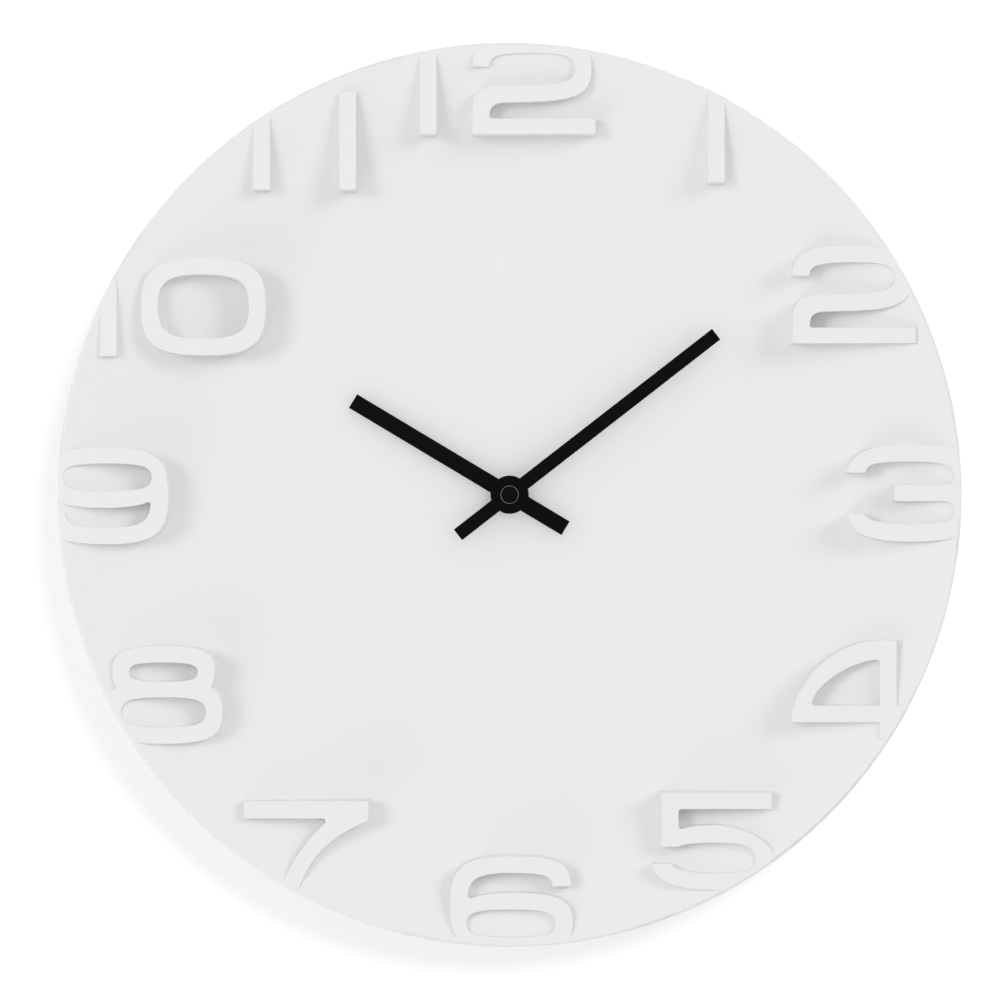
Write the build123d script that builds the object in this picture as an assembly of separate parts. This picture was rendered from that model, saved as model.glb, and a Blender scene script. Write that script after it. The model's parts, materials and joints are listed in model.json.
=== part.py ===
"""Relief wall clock: a dished disc with raised numbers, two hands and a quartz movement."""
import math
import os

from build123d import *

# Built lying on its back: X right, Y up the dial, Z from the wall to the viewer, hands on the Z axis.
# stand_up turns every piece so that the dial faces -Y and Z is up. All sizes are in millimetres.

# Disc and dish
disc_radius = 200.0
rim_land = 1.8
rim_round = 1.2
dish_depth = 12.0
dish_width = 59.0
dish_bend_radius = 195.0
dial_web = 3.0
pocket_margin = 4.0
pocket_corner = 6.0

# Raised numbers
digit_width = 55.3
digit_height = 43.3
digit_stroke = 7.5
cutter_radius = 1.2

# Hands and their cap
hour_length = 81.0
hour_tail = 29.0
hour_width = 7.1
minute_length = 116.0
minute_tail = 29.0
minute_width = 6.0
hand_sheet = 0.6
hub_radius = 8.5
collet_radius = 3.6
collet_height = 1.4
hand_gap = 0.9
hour_angle = 300.9
minute_angle = 52.15
cap_radius = 4.1
cap_height = 2.0
cap_bore_depth = 1.2
cap_edge = 0.5

# Fixing of the movement on the dial
bush_radius = 4.0
bush_flange_radius = 7.0
bush_flange = 0.7
bush_spare = 0.6
bush_hole_play = 0.2
gasket_radius = 13.0
gasket_thickness = 1.0
gasket_play = 0.4
washer_radius = 7.5
washer_thickness = 0.8
nut_flats = 11.0
nut_height = 2.6

# Movement case
wall_gap = 1.5
case_wall = 1.2
divider_wall = 1.0
case_corner = 2.0
skirt_wall = 0.8
skirt_height = 1.2
skirt_play = 0.1
post_radius = 1.6
post_inset = 2.2
plate_thickness = 1.0
plate_margin = 0.5
boss_radius = 1.4
boss_height = 1.0
boss_floor = 0.6
clip_width = 9.0
clip_sheet = 1.0
clip_reach = 6.0
clip_border = 1.6
clip_play = 0.1
lug_rise = 0.8
lug_length = 2.4
finger_notch_radius = 6.0

# Battery and contacts
battery_diameter = 14.5
battery_body = 49.2
nub_length = 1.3
nub_radius = 2.75
battery_edge = 0.6
battery_play = 0.3
contact_sheet = 0.4
contact_width = 10.0
contact_height = 8.0
contact_gap = 0.05
leg_width = 3.0
leg_reach = 8.0
leaf_rise = 1.8
leaf_half_span = 4.0
dimple_rise = 0.5
dimple_radius = 2.2

# Gears: tooth counts, centre distances and shared sizes
centre_teeth = 64
third_teeth = 60
fourth_teeth = 48
fifth_teeth = 40
leaf_teeth = 8
cannon_teeth = 12
intermediate_teeth = 36
intermediate_leaves = 10
hour_teeth = 40
third_reach = 10.8
rotor_reach = 7.2
motion_reach = 8.4
third_angle = 60.0
fifth_angle = 150.0
rotor_angle = 115.0
wheel_thickness = 0.8
pinion_lap = 0.2
level_step = 1.8
level_air = 0.5
first_level = 2.7
wheel_air = 0.48
arbor_radius = 0.5
pivot_play = 0.04
end_shake = 0.2
addendum_share = 0.9
leaf_addendum_share = 0.8
dedendum_share = 1.25
tooth_shares = (0.25, 0.11)
leaf_shares = (0.22, 0.11)

# Hand shafts, clutch and setting knob
minute_radius = 1.6
spigot_radius = 1.2
pipe_radius = 2.5
shaft_play = 0.05
clutch_play = 0.03
flange_radius = 2.4
flange_thickness = 0.3
clutch_thickness = 0.25
clutch_radius = 3.2
pivot_bore = 1.3
knob_radius = 6.0
knob_shaft_radius = 2.5
knob_thickness = 2.0
knob_sink = 0.3
knob_air = 0.5
knob_grips = 12
grip_radius = 0.9
well_wall = 1.0

# Motor
magnet_radius = 2.6
magnet_length = 2.2
rotor_air = 0.4
stator_thickness = 1.0
stator_drop = 0.4
pole_radius = 4.6
leg_stator_width = 3.0
yoke_width = 4.0
coil_span = 13.0
coil_end_room = 1.0
coil_radius = 2.8
barrel_radius = 1.6
bobbin_flange_radius = 3.2
bobbin_flange = 0.8
coil_top_room = 1.0
core_width = 2.0
core_thickness = 1.0
stator_post_radius = 1.0

# Circuit board
board_thickness = 1.0
board_height = 13.0
board_air = 0.7
board_drop = 4.1
board_post_inset = 2.5
chip_side = 5.0
chip_height = 1.0
crystal_radius = 1.0
crystal_length = 6.0
board_rim = 1.2

# Keyhole hanger on the back, set in from the disc's edge
hanger_inset = 50.0
plate_width = 16.0
plate_length = 46.0
plate_corner = 7.0
hanger_sheet = 1.5
hanger_sink = 0.3
hanger_play = 0.2
head_hole_radius = 4.75
slot_radius = 2.2
slot_run = 12.0
head_room_depth = 8.0
head_room_margin = 1.5
hanger_screw_inset = 5.0
screw_head_radius = 3.0
screw_radius = 1.5
screw_length = 14.0
screw_point = 2.0
screw_slot = 0.7

# Outline corners of the numbers: how far a curve bulges into its corner
fullness_shares = {"square": 0.78, "soft": 0.65, "round": 0.5, "lean": 0.42}

# Each row: mark, share of digit width, share of digit height, strokes across, strokes up.
# A "to" or "notch" row is a point of the outline, and a notch keeps the cutter's round.
# Any other mark is the corner that the outline curves past on its way to the next point.
two_shares = [
    ("to", 0, 0.69, 0, 0), ("square", 0, 1, 0, 0), ("to", 0.475, 1, 0, 0),
    ("square", 0.955, 1, 0, 0), ("to", 0.955, 0.675, 0, 0), ("square", 0.955, 0.35, 0, 0),
    ("to", 0.49, 0.33, 0, 0), ("to", 0.29, 0.325, 0, 0), ("square", 0, 0.325, 1, 0),
    ("notch", 0, 0, 1, 0.93), ("to", 0.985, 0, 0, 0.93),
    ("to", 0.985, 0, 0, 0), ("to", 0, 0, 0, 0), ("to", 0, 0.255, 0, 0),
    ("square", 0, 0.325, 0, 1), ("to", 0.29, 0.325, 0, 1), ("to", 0.49, 0.33, 0, 1),
    ("square", 0.955, 0.345, -1, 1), ("to", 0.955, 0.675, -1, 0), ("square", 0.955, 1, -1, -1),
    ("to", 0.475, 1, 0, -1), ("square", 0, 1, 1, -1), ("to", 0, 0.69, 1, 0),
]
three_shares = [
    ("to", 0, 0.704, 0, 0), ("soft", 0.02, 1, 0, 0), ("to", 0.48, 1, 0, 0),
    ("square", 1, 1, 0, 0), ("to", 1, 0.745, 0, 0), ("to", 1, 0.255, 0, 0),
    ("square", 1, 0, 0, 0), ("to", 0.48, 0, 0, 0), ("soft", 0, 0, 0, 0),
    ("to", 0.01, 0.285, 0, 0), ("to", 0.02, 0.285, 0.9, 0), ("soft", 0.03, 0, 1, 1.05),
    ("to", 0.5, 0, 0, 1.05), ("square", 0.99, 0, -1, 1.05), ("to", 0.99, 0.31, -1, 0),
    ("square", 0.99, 0.5, -1, -0.5), ("to", 0.75, 0.5, 0, -0.5), ("to", 0.38, 0.5, 0, -0.5),
    ("to", 0.38, 0.5, 0, 0.5), ("to", 0.75, 0.5, 0, 0.5), ("square", 0.99, 0.5, -1, 0.5),
    ("to", 0.99, 0.68, -1, 0), ("square", 0.99, 1, -1, -1.05), ("to", 0.48, 1, 0, -1.05),
    ("square", 0.02, 1, 1, -1.05), ("to", 0.015, 0.704, 1, 0),
]
four_shares = [
    ("to", 0, 0.17, 0, 0), ("round", 0, 1.01, 0, 0), ("to", 0.704, 1.01, 0, 0),
    ("to", 0.704, 1.01, 1, 0), ("notch", 0.704, 0.17, 1, 1), ("to", 1.1, 0.17, 0, 1),
    ("to", 1.1, 0.17, 0, 0), ("notch", 0.704, 0.17, 1, 0), ("to", 0.704, 0, 1, 0),
    ("to", 0.704, 0, 0, 0), ("notch", 0.704, 0.17, 0, 0),
]
four_counter_shares = [
    ("notch", 0.704, 0.17, 0, 1), ("notch", 0.16, 0.17, 0, 1), ("lean", 0.16, 1.01, 0, -1.15),
    ("notch", 0.704, 1.01, 0, -1.15),
]
five_shares = [
    ("to", 0.07, 1, 0, 0), ("to", 0.95, 1, 0, 0), ("to", 0.95, 1, 0, -1), ("notch", 0.07, 1, 1, -1),
    ("notch", 0.07, 0.61, 1, 0), ("soft", 0.29, 0.665, 0, 0), ("to", 0.48, 0.665, 0, 0),
    ("round", 0.97, 0.665, 0, 0), ("to", 0.97, 0.33, 0, 0), ("square", 0.97, 0, 0, 0),
    ("to", 0.48, 0, 0, 0), ("soft", 0, 0, 0, 0), ("to", 0, 0.27, 0, 0), ("to", 0, 0.27, 1.1, 0),
    ("soft", 0.02, 0, 1.1, 1), ("to", 0.5, 0, 0, 1), ("square", 0.97, 0, -1.1, 1),
    ("to", 0.97, 0.31, -1.1, 0), ("square", 0.97, 0.665, -1.1, -1.05), ("to", 0.48, 0.665, 0, -1.05),
    ("soft", 0.25, 0.665, 0, -1.05), ("to", 0.07, 0.441, 1, 0), ("to", 0.07, 0.441, 0, 0),
]
six_shares = [
    ("to", 0.97, 0.69, 0, 0), ("square", 0.97, 1, 0, 0), ("to", 0.49, 1, 0, 0), ("square", 0, 1, 0, 0),
    ("to", 0, 0.5, 0, 0), ("square", 0, 0, 0, 0), ("to", 0.49, 0, 0, 0), ("square", 0.985, 0, 0, 0),
    ("to", 0.985, 0.313, 0, 0), ("square", 0.985, 0.627, 0, 0), ("to", 0.5, 0.627, 0, 0),
    ("soft", 0.24, 0.627, 0, 0), ("notch", 0, 0.55, 1.05, 0), ("square", 0, 1, 1.05, -1),
    ("to", 0.49, 1, 0, -1), ("square", 0.97, 1, -1.1, -1), ("to", 0.97, 0.69, -1.1, 0),
]
seven_shares = [
    ("to", 0, 1, 0, 0), ("to", 1, 1, 0, 0), ("to", 1, 0.8, 0, 0), ("square", 0.555, 0.55, 0, 0),
    ("to", 0.415, 0, 0, 0), ("to", 0.415, 0, -0.95, 0), ("soft", 0.335, 0.42, 0, 0),
    ("notch", 0.69, 1, 0, -1.05), ("to", 0, 1, 0, -1.05),
]
# Round loops: middle and half extents as shares of digit width and height
zero_loop_shares = (0.5, 0.5, 0.5, 0.5)
six_counter_shares = (0.49, 0.313, 0.49, 0.313)
eight_upper_shares = (0.475, 0.735, 0.41, 0.27)
eight_lower_shares = (0.475, 0.325, 0.473, 0.325)

# Middle of each number as shares of the disc radius
place_shares = [
    ("1", -0.18, 0.905), ("2", 0.056, 0.905), ("1", 0.457, 0.798), ("2", 0.764, 0.443),
    ("3", 0.884, 0.004), ("4", 0.762, -0.432), ("5", 0.455, -0.766), ("6", 0.006, -0.907),
    ("7", -0.45, -0.785), ("8", -0.758, -0.443), ("9", -0.892, -0.002),
    ("1", -0.887, 0.414), ("0", -0.677, 0.416), ("1", -0.548, 0.782), ("1", -0.358, 0.782),
]


def polar(reach, angle, start=(0, 0)):
    turn = math.radians(angle)
    return (start[0] + reach * math.cos(turn), start[1] + reach * math.sin(turn))


def module_of(reach, first_teeth, second_teeth):
    return 2 * reach / (first_teeth + second_teeth)


def tip_radius(teeth, module, share):
    return module * (teeth / 2 + share)


# Heights above the wall, from the back of the movement to the front of the rim
cover_inside = wall_gap + case_wall
boss_top = cover_inside + boss_height
fifth_level = cover_inside + first_level
fourth_level = fifth_level + level_step
third_level = fourth_level + level_step
centre_level = third_level + level_step
plate_back = centre_level + wheel_thickness + level_air
plate_front = plate_back + plate_thickness
motion_level = plate_front + level_air
hour_level = motion_level + wheel_thickness + level_air
train_top = hour_level + wheel_thickness + level_air
front_inside = max(wall_gap + battery_diameter + battery_play, train_top)
case_front = front_inside + case_wall
pocket_depth = case_front + gasket_thickness
dial_floor = pocket_depth + dial_web
rim_front = dial_floor + dish_depth
washer_top = dial_floor + washer_thickness
nut_top = washer_top + nut_height
bush_top = nut_top + bush_spare
hour_hand_back = bush_top + bush_spare
hour_hand_front = hour_hand_back + collet_height
minute_hand_back = hour_hand_front + hand_gap
minute_hand_front = minute_hand_back + collet_height
cap_front = minute_hand_front + cap_height
stator_front = third_level - stator_drop
stator_back = stator_front - stator_thickness
core_back = stator_back - core_thickness
board_front = plate_back - board_drop
board_back = board_front - board_thickness
flange_top = centre_level - clutch_thickness
flange_back = flange_top - flange_thickness

# Gear modules, tip radii and arbor places
centre_module = module_of(third_reach, centre_teeth, leaf_teeth)
third_module = module_of(third_reach, third_teeth, leaf_teeth)
centre_tip = tip_radius(centre_teeth, centre_module, addendum_share)
third_tip = tip_radius(third_teeth, third_module, addendum_share)
fifth_reach = centre_tip + arbor_radius + wheel_air
fourth_module = module_of(fifth_reach, fourth_teeth, leaf_teeth)
fifth_module = module_of(rotor_reach, fifth_teeth, leaf_teeth)
cannon_module = module_of(motion_reach, cannon_teeth, intermediate_teeth)
hour_module = module_of(motion_reach, intermediate_leaves, hour_teeth)
middle = (0, 0)
third_spot = polar(third_reach, third_angle)
fifth_spot = polar(fifth_reach, fifth_angle)
rotor_spot = polar(rotor_reach, rotor_angle, fifth_spot)
intermediate_spot = polar(motion_reach, 0)
knob_spot = polar(2 * motion_reach, 0)

# Case plan, from the train and the battery
battery_radius = battery_diameter / 2
chamber_bottom = -(centre_tip + 2 * wheel_air)
tray_top = chamber_bottom - divider_wall
battery_up = tray_top - battery_play - battery_radius
case_bottom = battery_up - battery_radius - battery_play - case_wall
battery_length = battery_body + nub_length
case_inside = battery_length + 2 * contact_sheet + leaf_rise + dimple_rise
case_side = case_inside + 2 * case_wall
inside_right = case_inside / 2
case_top = case_bottom + case_side
inside_top = case_top - case_wall
clip_up = (tray_top + case_top) / 2
clip_end = cover_inside + clip_reach
lug_width = clip_width - 2 * clip_border - 2 * clip_play
nub_end = inside_right - contact_sheet - dimple_rise
battery_end = nub_end - battery_length
post_spots = [
    (side * (inside_right - post_inset), up)
    for side in (-1, 1)
    for up in (chamber_bottom + post_inset, inside_top - post_inset)
]
coil_up = inside_top - bobbin_flange_radius - coil_top_room
coil_left = rotor_spot[0] - coil_span / 2
coil_right = rotor_spot[0] + coil_span / 2
leg_left = coil_left - coil_end_room - leg_stator_width
leg_right = coil_right + coil_end_room + leg_stator_width
stator_post_up = coil_up - bobbin_flange_radius
stator_post_spots = [
    (leg_left + leg_stator_width / 2, stator_post_up),
    (leg_right - leg_stator_width / 2, stator_post_up),
]
well_radius = knob_radius + knob_air
well_reach = well_radius + well_wall
knob_back = wall_gap + knob_sink
knob_front = knob_back + knob_thickness
well_floor = knob_front + end_shake
board_left = third_spot[0] + third_tip + board_air
board_right = inside_right - contact_sheet
board_bottom = well_reach + board_air
board_top = board_bottom + board_height
board_middle = (board_left + board_right) / 2
board_post_spot = (board_middle, board_top - board_post_inset)
hanger_height = disc_radius - hanger_inset

BASE = (Align.CENTER, Align.CENTER, Align.MIN)
CORNER = (Align.MIN, Align.MIN, Align.MIN)


def post(radius, bottom, top, spot=middle):
    return Pos(spot[0], spot[1], bottom) * Cylinder(radius, top - bottom, align=BASE)


def ring(outer, inner, bottom, top, spot=middle):
    return post(outer, bottom, top, spot) - post(inner, bottom, top, spot)


def block(left, right, bottom, top, back, front):
    return Pos(left, bottom, back) * Box(right - left, top - bottom, front - back, align=CORNER)


def rounded_block(width, height, corner, spot, back, front):
    sketch = Pos(spot[0], spot[1], back) * RectangleRounded(width, height, corner)
    return extrude(sketch, front - back)


def lying_rod(radius, left, right, up, height):
    rod = Rot(0, 90, 0) * Cylinder(radius, right - left, align=BASE)
    return Pos(left, up, height) * rod


def revolved(points):
    face = make_face(Polyline(*points, close=True))
    return revolve(Plane.XZ * face, Axis.Z)


def gear(teeth, module, addendum, shares, level, thickness, phase):
    outer = tip_radius(teeth, module, addendum)
    inner = tip_radius(teeth, module, -dedendum_share)
    pitch = 360 / teeth
    root, crest = shares
    profile = [(inner, -root), (outer, -crest), (outer, crest), (inner, root)]
    points = []
    for tooth in range(teeth):
        angle = phase + tooth * pitch
        for radius, share in profile:
            points.append(polar(radius, angle + share * pitch))
    face = make_face(Polyline(*points, close=True))
    return Pos(0, 0, level) * extrude(face, thickness)


def wheel(teeth, module, level, phase=0):
    return gear(teeth, module, addendum_share, tooth_shares, level, wheel_thickness, phase)


def pinion(teeth, module, level, phase=0):
    length = wheel_thickness + 2 * pinion_lap
    return gear(teeth, module, leaf_addendum_share, leaf_shares, level - pinion_lap, length, phase)


def meshed_phase(teeth, phase, other_teeth, direction):
    """Phase of a gear lying in the given direction from one of known phase."""
    offset = (direction - phase) * teeth / 360
    return direction + 180 - (0.5 - offset) * 360 / other_teeth


def placed(shape, spot):
    return Pos(spot[0], spot[1], 0) * shape


def digit_spot(row):
    across = row[1] * digit_width + row[3] * digit_stroke
    up = row[2] * digit_height + row[4] * digit_stroke
    return Vector(across - digit_width / 2, up - digit_height / 2)


def bulged(start, corner, end, share):
    return Bezier(start, start + (corner - start) * share, end + (corner - end) * share, end)


def outline_face(rows):
    edges = []
    here = digit_spot(rows[0])
    corner = None
    for row in rows[1:] + rows[:1]:
        there = digit_spot(row)
        if row[0] in fullness_shares:
            corner = (there, fullness_shares[row[0]])
            continue
        edges.append(bulged(here, corner[0], there, corner[1]) if corner else Line(here, there))
        here = there
        corner = None
    return make_face(edges)


def loop_face(shares, inset=0):
    across = (shares[0] - 0.5) * digit_width
    up = (shares[1] - 0.5) * digit_height
    half_width = shares[2] * digit_width - inset
    half_height = shares[3] * digit_height - inset
    sides = [(half_width, 0), (0, half_height), (-half_width, 0), (0, -half_height)]
    edges = []
    for start, end in zip(sides, sides[1:] + sides[:1]):
        corner = Vector(start[0] + end[0], start[1] + end[1])
        edges.append(bulged(Vector(*start), corner, Vector(*end), fullness_shares["square"]))
    return Pos(across, up) * make_face(edges)


def loop(shares):
    return loop_face(shares) - loop_face(shares, digit_stroke)


def digit_face(name):
    if name == "1":
        return Rectangle(digit_stroke, digit_height)
    if name == "0":
        return loop(zero_loop_shares)
    if name == "2":
        return outline_face(two_shares)
    if name == "3":
        return outline_face(three_shares)
    if name == "4":
        return outline_face(four_shares) - outline_face(four_counter_shares)
    if name == "5":
        return outline_face(five_shares)
    if name == "7":
        return outline_face(seven_shares)
    if name == "8":
        lobes = loop_face(eight_upper_shares) + loop_face(eight_lower_shares)
        lobes -= loop_face(eight_upper_shares, digit_stroke)
        return lobes - loop_face(eight_lower_shares, digit_stroke)
    six = outline_face(six_shares) - loop_face(six_counter_shares, digit_stroke)
    return Rot(0, 0, 180) * six if name == "9" else six


notch_tables = {"2": [two_shares], "4": [four_shares, four_counter_shares], "5": [five_shares],
                "6": [six_shares], "7": [seven_shares], "9": [six_shares]}


def notch_spots(name):
    spots = [digit_spot(row) for table in notch_tables.get(name, []) for row in table if row[0] == "notch"]
    return [-spot for spot in spots] if name == "9" else spots


def near(edge, spots):
    place = edge.center()
    return any(math.hypot(place.X - spot.X, place.Y - spot.Y) < cutter_radius for spot in spots)


def raised_digit(name):
    digit = extrude(digit_face(name), dish_depth)
    spots = notch_spots(name)
    corners = [edge for edge in digit.edges().filter_by(Axis.Z) if near(edge, spots)]
    return fillet(corners, cutter_radius) if corners else digit


def dished_blank():
    land_radius = disc_radius - rim_land
    land_edge = (land_radius, rim_front)
    floor_middle = (0, dial_floor)
    floor_edge = (disc_radius - dish_width, dial_floor)
    rim = Polyline(land_edge, (disc_radius, rim_front), (disc_radius, 0), (0, 0), floor_middle)
    dish = FilletPolyline(floor_middle, floor_edge, land_edge, radius=dish_bend_radius)
    return revolve(Plane.XZ * make_face(rim.edges() + dish.edges()), Axis.Z)


def rim_envelope():
    blank = post(disc_radius, 0, rim_front)
    front_edge = blank.edges().group_by(Axis.Z)[-1]
    return fillet(front_edge, rim_round)


def upright_slot(radius, low, high, back, front):
    sides = block(-radius, radius, low, high, back, front)
    return sides + post(radius, back, front, (0, low)) + post(radius, back, front, (0, high))


def hanger_recesses():
    """Room for the keyhole plate, its screws and the head of the wall screw."""
    depth = hanger_sink + hanger_sheet
    sunk = rounded_block(plate_width + 2 * hanger_play, plate_length + 2 * hanger_play,
                         plate_corner + hanger_play, (0, hanger_height), 0, depth)
    room = upright_slot(head_hole_radius + head_room_margin, hanger_height - slot_run / 2,
                        hanger_height + slot_run / 2, depth, depth + head_room_depth)
    pilots = [post(screw_radius, depth, hanger_sink + screw_length, spot) for spot in screw_spots()]
    return [sunk, room] + pilots


def screw_spots():
    half = plate_length / 2 - hanger_screw_inset
    return [(0, hanger_height - half), (0, hanger_height + half)]


def dial_disc():
    digits = [Pos(across * disc_radius, up * disc_radius, dial_floor) * raised_digit(name)
              for name, across, up in place_shares]
    disc = dished_blank() + digits
    disc = disc & rim_envelope()
    pocket_side = case_side + 2 * pocket_margin
    pocket_up = (case_bottom + case_top) / 2
    pocket = rounded_block(pocket_side, pocket_side, pocket_corner, (0, pocket_up), 0, pocket_depth)
    shaft_hole = post(bush_radius + bush_hole_play, pocket_depth, dial_floor)
    return disc - [pocket, shaft_hole] - hanger_recesses()


def hand(length, tail, width, bore, back, front, angle):
    blade_back = front - hand_sheet
    blade = block(-width / 2, width / 2, -tail, length, blade_back, front)
    body = blade + post(hub_radius, blade_back, front) + post(collet_radius, back, front)
    return Rot(0, 0, -angle) * (body - post(bore, back, front))


def hour_hand():
    return hand(hour_length, hour_tail, hour_width, pipe_radius, hour_hand_back, hour_hand_front, hour_angle)


def minute_hand():
    return hand(minute_length, minute_tail, minute_width, spigot_radius, minute_hand_back,
                minute_hand_front, minute_angle)


def hand_cap():
    cap = post(cap_radius, minute_hand_front, cap_front)
    cap = chamfer(cap.edges().group_by(Axis.Z)[-1], cap_edge)
    return cap - post(spigot_radius, minute_hand_front, minute_hand_front + cap_bore_depth)


def threaded_bush():
    barrel = post(bush_radius, front_inside, bush_top)
    flange = post(bush_flange_radius, case_front, case_front + bush_flange)
    return barrel + flange - post(pipe_radius + shaft_play, front_inside, bush_top)


def rubber_gasket():
    return ring(gasket_radius, bush_flange_radius + gasket_play, case_front, pocket_depth)


def dial_washer():
    return ring(washer_radius, bush_radius + bush_hole_play, dial_floor, washer_top)


def dial_nut():
    hexagon = RegularPolygon(nut_flats / 2, 6, major_radius=False)
    nut = Pos(0, 0, washer_top) * extrude(hexagon, nut_height)
    return nut - post(bush_radius, washer_top, nut_top)


def front_case():
    case_up = (case_bottom + case_top) / 2
    half = case_side / 2
    case = rounded_block(case_side, case_side, case_corner, (0, case_up), wall_gap, case_front)
    chamber = block(-inside_right, inside_right, chamber_bottom, inside_top, wall_gap, front_inside)
    tray = block(-inside_right, inside_right, case_bottom + case_wall, tray_top, wall_gap, front_inside)
    lid_seat = block(-half, half, tray_top, case_top, wall_gap, cover_inside)
    case = case - [chamber, tray, lid_seat, post(bush_radius, front_inside, case_front)]
    case = case + [post(post_radius, plate_front, front_inside, spot) for spot in post_spots]
    case = case + [case_lug(), mirror(case_lug(), Plane.YZ)] - finger_notch()
    case = case - [leg_slot(-1), leg_slot(1)]
    return case - [front_pivot_hole(spot) for spot in (intermediate_spot, knob_spot)]


def case_lug():
    """Ramped catch on the case's side wall, for the cover's clip."""
    half = case_side / 2
    front = clip_end - clip_border - clip_play
    points = [(half, front - lug_length), (half + lug_rise, front), (half, front)]
    ramp = extrude(Plane.XZ * make_face(Polyline(*points, close=True)), lug_width)
    return Pos(0, clip_up + lug_width / 2, 0) * ramp


def cover_clip():
    """Tongue of the cover that runs along the case's side wall, with a window for the lug."""
    half = case_side / 2
    outer = half + clip_sheet
    low = clip_up - clip_width / 2
    high = clip_up + clip_width / 2
    tongue = block(half, outer, low, high, wall_gap, clip_end)
    window = block(half, outer, low + clip_border, high - clip_border, cover_inside, clip_end - clip_border)
    return tongue - window


def finger_notch():
    """Half-round cut in the wall below the battery, for a fingertip."""
    cut = Rot(-90, 0, 0) * Cylinder(finger_notch_radius, case_wall, align=BASE)
    return Pos(0, case_bottom, wall_gap) * cut


def front_pivot_hole(spot):
    return post(arbor_radius + pivot_play, front_inside, case_front - boss_floor, spot)


def leg_slot(side):
    height = contact_middle()
    slot = block(inside_right - contact_sheet, inside_right, tray_top, chamber_bottom,
                 height - leg_width / 2, height + leg_width / 2)
    return slot if side > 0 else mirror(slot, Plane.YZ)


def contact_middle():
    return front_inside - battery_play - battery_radius


def rear_cover():
    half = case_side / 2
    case_up = (case_bottom + case_top) / 2
    lid = rounded_block(case_side, case_side, case_corner, (0, case_up), wall_gap, cover_inside)
    lid = lid & block(-half, half, tray_top, case_top, wall_gap, cover_inside)
    right = inside_right - skirt_play
    low = chamber_bottom + skirt_play
    high = inside_top - skirt_play
    skirt_top = cover_inside + skirt_height
    skirt = block(-right, right, low, high, cover_inside, skirt_top)
    skirt = skirt - block(skirt_wall - right, right - skirt_wall, low + skirt_wall, high - skirt_wall,
                          cover_inside, skirt_top)
    well_top = well_floor + well_wall
    pivot_spots = [middle, third_spot, fifth_spot, rotor_spot]
    pillars = [post(post_radius, cover_inside, plate_back, spot) for spot in post_spots]
    bosses = [post(boss_radius, cover_inside, boss_top, spot) for spot in pivot_spots]
    cover = lid + skirt + pillars + bosses + post(well_reach, cover_inside, well_top, knob_spot)
    cover = cover + [cover_clip(), mirror(cover_clip(), Plane.YZ)]
    hole_radius = arbor_radius + pivot_play
    holes = [post(hole_radius, wall_gap + boss_floor, boss_top, spot) for spot in pivot_spots]
    well = post(well_radius, wall_gap, well_floor, knob_spot)
    well_hole = post(knob_shaft_radius + shaft_play, well_floor, well_top, knob_spot)
    return cover - holes - [well, well_hole]


def gear_plate():
    right = inside_right - plate_margin
    low = chamber_bottom + plate_margin
    high = inside_top - plate_margin
    plate = block(-right, right, low, high, plate_back, plate_front)
    plate = plate + [post(stator_post_radius, stator_front, plate_back, spot) for spot in stator_post_spots]
    plate = plate + post(stator_post_radius, board_front, plate_back, board_post_spot)
    pivots = [post(arbor_radius + pivot_play, plate_back, plate_front, spot)
              for spot in (third_spot, fifth_spot, rotor_spot, intermediate_spot)]
    knob_hole = post(knob_shaft_radius + shaft_play, plate_back, plate_front, knob_spot)
    return plate - pivots - [post(minute_radius + shaft_play, plate_back, plate_front), knob_hole]


arbor_back = wall_gap + boss_floor + end_shake
arbor_front = plate_front - end_shake
front_pivot_end = case_front - boss_floor - end_shake

third_leaf_phase = meshed_phase(centre_teeth, 0, leaf_teeth, third_angle)
fourth_leaf_phase = meshed_phase(third_teeth, 0, leaf_teeth, third_angle + 180)
fifth_leaf_phase = meshed_phase(fourth_teeth, 0, leaf_teeth, fifth_angle)
rotor_leaf_phase = meshed_phase(fifth_teeth, 0, leaf_teeth, rotor_angle)
intermediate_phase = meshed_phase(cannon_teeth, 0, intermediate_teeth, 0)
knob_phase = meshed_phase(intermediate_teeth, intermediate_phase, cannon_teeth, 0)
hour_phase = meshed_phase(intermediate_leaves, 0, hour_teeth, 180)


def centre_wheel():
    disc = wheel(centre_teeth, centre_module, centre_level)
    return disc - post(minute_radius + clutch_play, centre_level, centre_level + wheel_thickness)


def third_wheel():
    train = wheel(third_teeth, third_module, third_level) + post(arbor_radius, arbor_back, arbor_front)
    return placed(train + pinion(leaf_teeth, centre_module, centre_level, third_leaf_phase), third_spot)


def fourth_wheel():
    pivot_end = flange_back + pivot_bore - end_shake
    train = wheel(fourth_teeth, fourth_module, fourth_level) + post(arbor_radius, arbor_back, pivot_end)
    return train + pinion(leaf_teeth, third_module, third_level, fourth_leaf_phase)


def fifth_wheel():
    train = wheel(fifth_teeth, fifth_module, fifth_level) + post(arbor_radius, arbor_back, arbor_front)
    return placed(train + pinion(leaf_teeth, fourth_module, fourth_level, fifth_leaf_phase), fifth_spot)


def rotor_pinion():
    train = post(arbor_radius, arbor_back, arbor_front)
    return placed(train + pinion(leaf_teeth, fifth_module, fifth_level, rotor_leaf_phase), rotor_spot)


def rotor_magnet():
    bottom = (stator_back + stator_front - magnet_length) / 2
    return ring(magnet_radius, arbor_radius, bottom, bottom + magnet_length, rotor_spot)


def minute_arbor():
    shaft = post(minute_radius, flange_back, minute_hand_back) + post(flange_radius, flange_back, flange_top)
    shaft = shaft + post(spigot_radius, minute_hand_back, minute_hand_front + cap_bore_depth - end_shake)
    shaft = shaft + pinion(cannon_teeth, cannon_module, motion_level)
    return shaft - post(arbor_radius + pivot_play, flange_back, flange_back + pivot_bore)


def clutch_washer():
    return ring(clutch_radius, minute_radius, flange_top, centre_level)


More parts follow.
